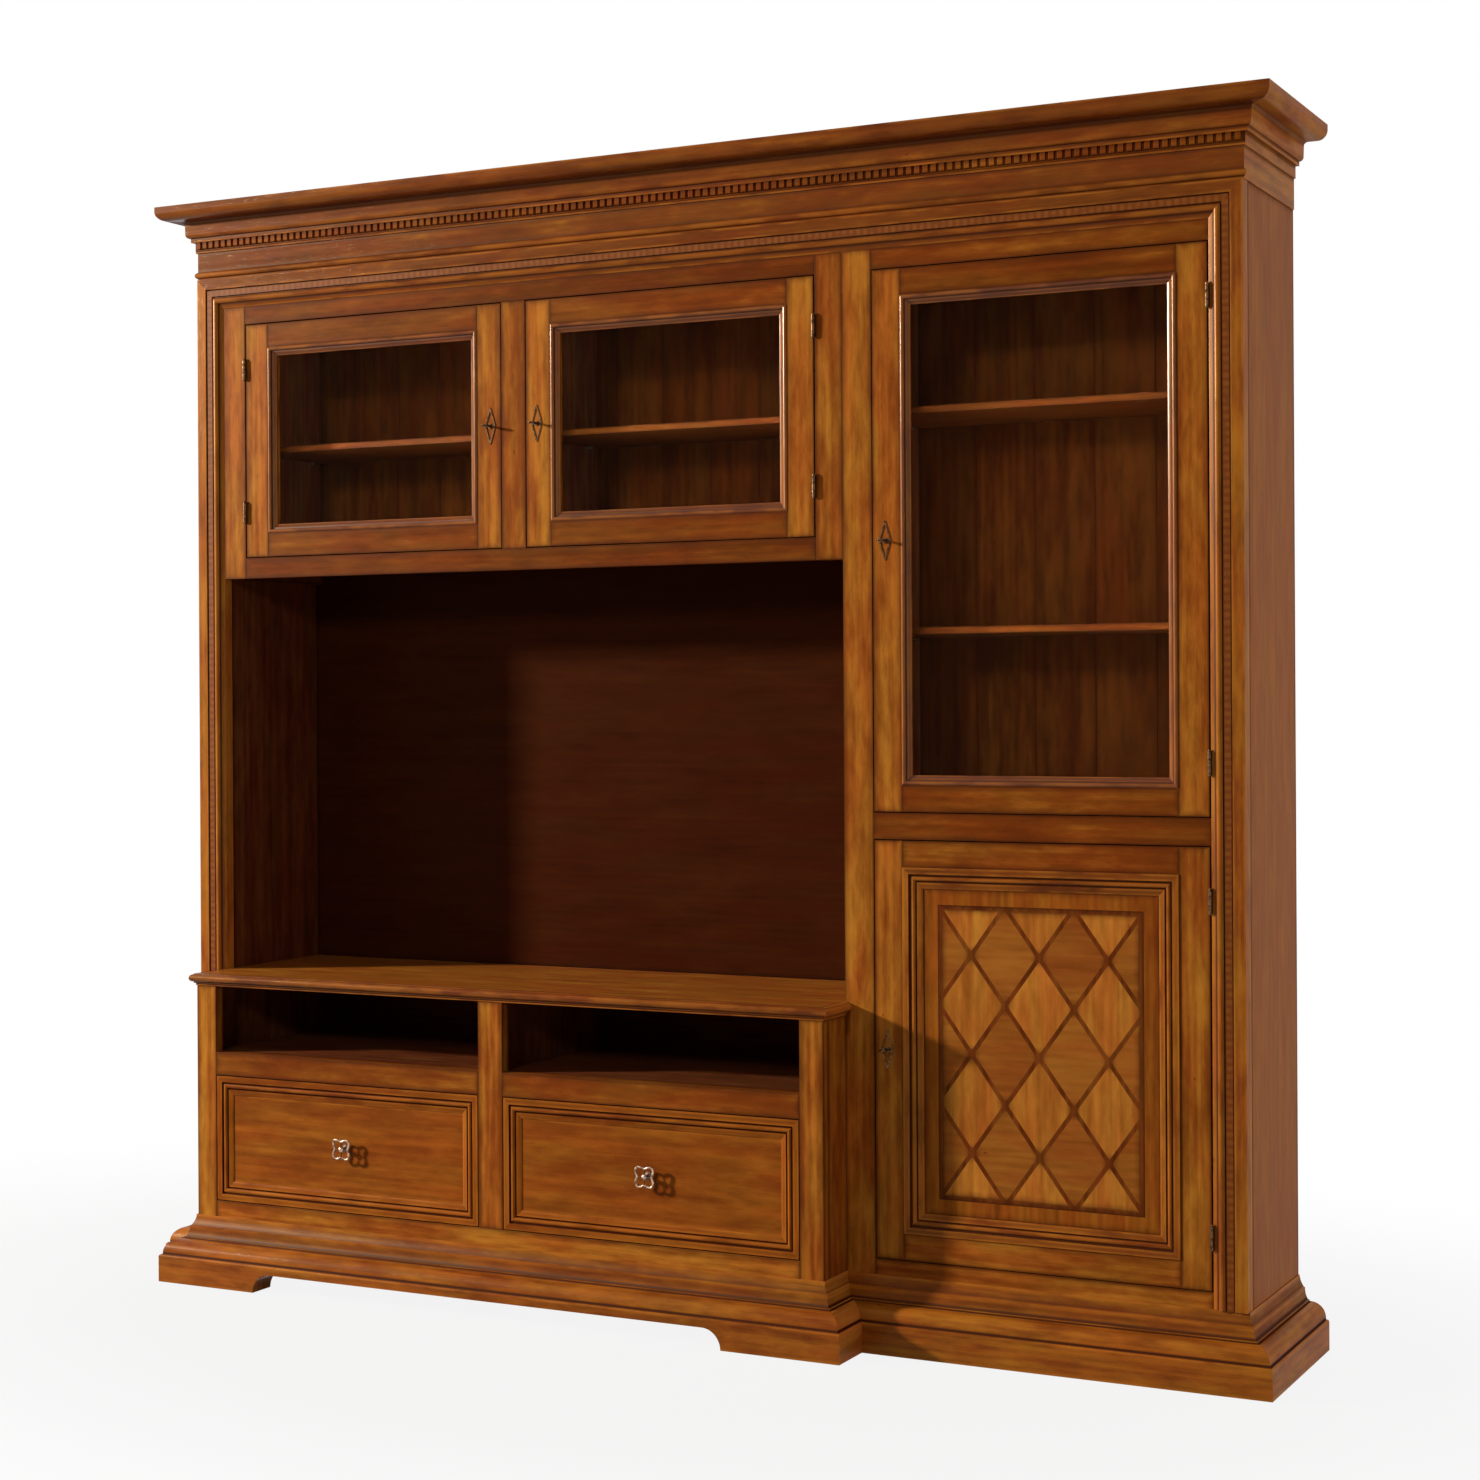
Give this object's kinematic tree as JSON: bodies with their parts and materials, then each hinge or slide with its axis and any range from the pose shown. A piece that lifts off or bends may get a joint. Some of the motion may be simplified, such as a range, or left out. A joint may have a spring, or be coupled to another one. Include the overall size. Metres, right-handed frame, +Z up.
{
  "type": "entertainment wall unit",
  "caption": "Traditional stained-wood wall unit: a media base with drawers and open bays, a television niche, glazed wall cupboards, and a glazed tower over an inlaid door, under a cornice.",
  "frame": {"origin": "on the floor, under the middle of the unit's bounding box", "axes": "+X to the right along the wall, +Y back to the wall, +Z up"},
  "size_m": [2.365, 0.462, 2.2],
  "materials": {
    "wood": "satin lacquer over stained cherry with a dark glaze",
    "dark_wood": "satin stained boards",
    "banding": "inlaid banding under satin lacquer",
    "bright_steel": "plain",
    "aged_brass": "dark burnished",
    "antique_nickel": "worn antique nickel",
    "glass": "clear float glass",
    "drawer_wood": "oiled",
    "dark_inlay": "inlaid lines",
    "light_inlay": "inlaid veneer"
  },
  "bodies": {
    "carcass": {"left_end": "wood", "tower_carcass": "wood", "tower_frame": "wood", "upper_carcass": "wood", "upper_frame": "wood", "base_carcass": "wood", "base_frame": "wood", "back_panels": "dark_wood", "back_boards": "dark_wood", "desk_top": "wood", "desk_nosing": "wood", "surround": "wood", "surround_inlay": "banding", "cornice": "wood", "dentils": "wood", "cornice_board": "wood", "base_plinth": "wood", "tower_plinth": "wood", "end_plinth": "wood", "shelves": "wood", "shelf_pins": "bright_steel", "frame_hinges": "aged_brass", "drawer_runners": "drawer_wood"},
    "upper_left_door": {"upper_left_door_frame": "wood", "upper_left_door_moulding": "wood", "upper_left_door_glass": "glass", "upper_left_door_hinges": "aged_brass", "upper_left_door_lock": "aged_brass"},
    "upper_left_key": {"upper_left_key": "aged_brass"},
    "upper_left_bolt": {"upper_left_bolt": "bright_steel"},
    "upper_right_door": {"upper_right_door_frame": "wood", "upper_right_door_moulding": "wood", "upper_right_door_glass": "glass", "upper_right_door_hinges": "aged_brass", "upper_right_door_lock": "aged_brass"},
    "upper_right_key": {"upper_right_key": "aged_brass"},
    "upper_right_bolt": {"upper_right_bolt": "bright_steel"},
    "glass_door": {"glass_door_frame": "wood", "glass_door_moulding": "wood", "glass_door_glass": "glass", "glass_door_hinges": "aged_brass", "glass_door_lock": "aged_brass"},
    "glass_door_key": {"glass_door_key": "aged_brass"},
    "glass_door_bolt": {"glass_door_bolt": "bright_steel"},
    "panel_door": {"panel_door_frame": "wood", "panel_door_moulding": "wood", "panel_door_panel": "wood", "panel_door_lattice": "dark_inlay", "panel_door_lozenges": "light_inlay", "panel_door_hinges": "aged_brass", "panel_door_lock": "aged_brass"},
    "panel_door_key": {"panel_door_key": "aged_brass"},
    "panel_door_bolt": {"panel_door_bolt": "bright_steel"},
    "left_drawer": {"left_drawer_front": "wood", "left_drawer_box": "drawer_wood", "left_drawer_knob": "antique_nickel"},
    "right_drawer": {"right_drawer_front": "wood", "right_drawer_box": "drawer_wood", "right_drawer_knob": "antique_nickel"}
  },
  "joints": [
    {"name": "upper_left_door_swing", "type": "hinge", "parent": "carcass", "child": "upper_left_door", "pos_m": [-1, -0.085, 1.712], "axis": [0, 0, -1], "range_deg": [0, 110]},
    {"name": "upper_left_key_turn", "type": "hinge", "parent": "upper_left_door", "child": "upper_left_key", "pos_m": [-0.4, -0.081, 1.712], "axis": [0, -1, 0], "range_deg": [0, 95]},
    {"name": "upper_left_bolt_slide", "type": "slide", "parent": "upper_left_door", "child": "upper_left_bolt", "axis": [1, 0, 0], "range_m": [0, 0.0075]},
    {"name": "upper_right_door_swing", "type": "hinge", "parent": "carcass", "child": "upper_right_door", "pos_m": [0.307, -0.085, 1.712], "axis": [0, 0, 1], "range_deg": [0, 110]},
    {"name": "upper_right_key_turn", "type": "hinge", "parent": "upper_right_door", "child": "upper_right_key", "pos_m": [-0.293, -0.081, 1.712], "axis": [0, 1, 0], "range_deg": [0, 95]},
    {"name": "upper_right_bolt_slide", "type": "slide", "parent": "upper_right_door", "child": "upper_right_bolt", "axis": [-1, 0, 0], "range_m": [0, 0.0075]},
    {"name": "glass_door_swing", "type": "hinge", "parent": "carcass", "child": "glass_door", "pos_m": [1.055, -0.085, 1.4605], "axis": [0, 0, 1], "range_deg": [0, 110]},
    {"name": "glass_door_key_turn", "type": "hinge", "parent": "glass_door", "child": "glass_door_key", "pos_m": [0.448, -0.081, 1.4605], "axis": [0, 1, 0], "range_deg": [0, 95]},
    {"name": "glass_door_bolt_slide", "type": "slide", "parent": "glass_door", "child": "glass_door_bolt", "axis": [-1, 0, 0], "range_m": [0, 0.0075]},
    {"name": "panel_door_swing", "type": "hinge", "parent": "carcass", "child": "panel_door", "pos_m": [1.055, -0.085, 0.5395], "axis": [0, 0, 1], "range_deg": [0, 110]},
    {"name": "panel_door_key_turn", "type": "hinge", "parent": "panel_door", "child": "panel_door_key", "pos_m": [0.448, -0.081, 0.5395], "axis": [0, 1, 0], "range_deg": [0, 95]},
    {"name": "panel_door_bolt_slide", "type": "slide", "parent": "panel_door", "child": "panel_door_bolt", "axis": [-1, 0, 0], "range_m": [0, 0.0075]},
    {"name": "left_drawer_slide", "type": "slide", "parent": "carcass", "child": "left_drawer", "axis": [0, -1, 0], "range_m": [0, 0.3]},
    {"name": "right_drawer_slide", "type": "slide", "parent": "carcass", "child": "right_drawer", "axis": [0, -1, 0], "range_m": [0, 0.3]}
  ],
  "couplings": [
    {"joint": "upper_left_key_turn", "follows": "upper_left_bolt_slide", "rad_per_m": 209.44},
    {"joint": "upper_right_key_turn", "follows": "upper_right_bolt_slide", "rad_per_m": 209.44},
    {"joint": "glass_door_key_turn", "follows": "glass_door_bolt_slide", "rad_per_m": 209.44},
    {"joint": "panel_door_key_turn", "follows": "panel_door_bolt_slide", "rad_per_m": 209.44}
  ]
}
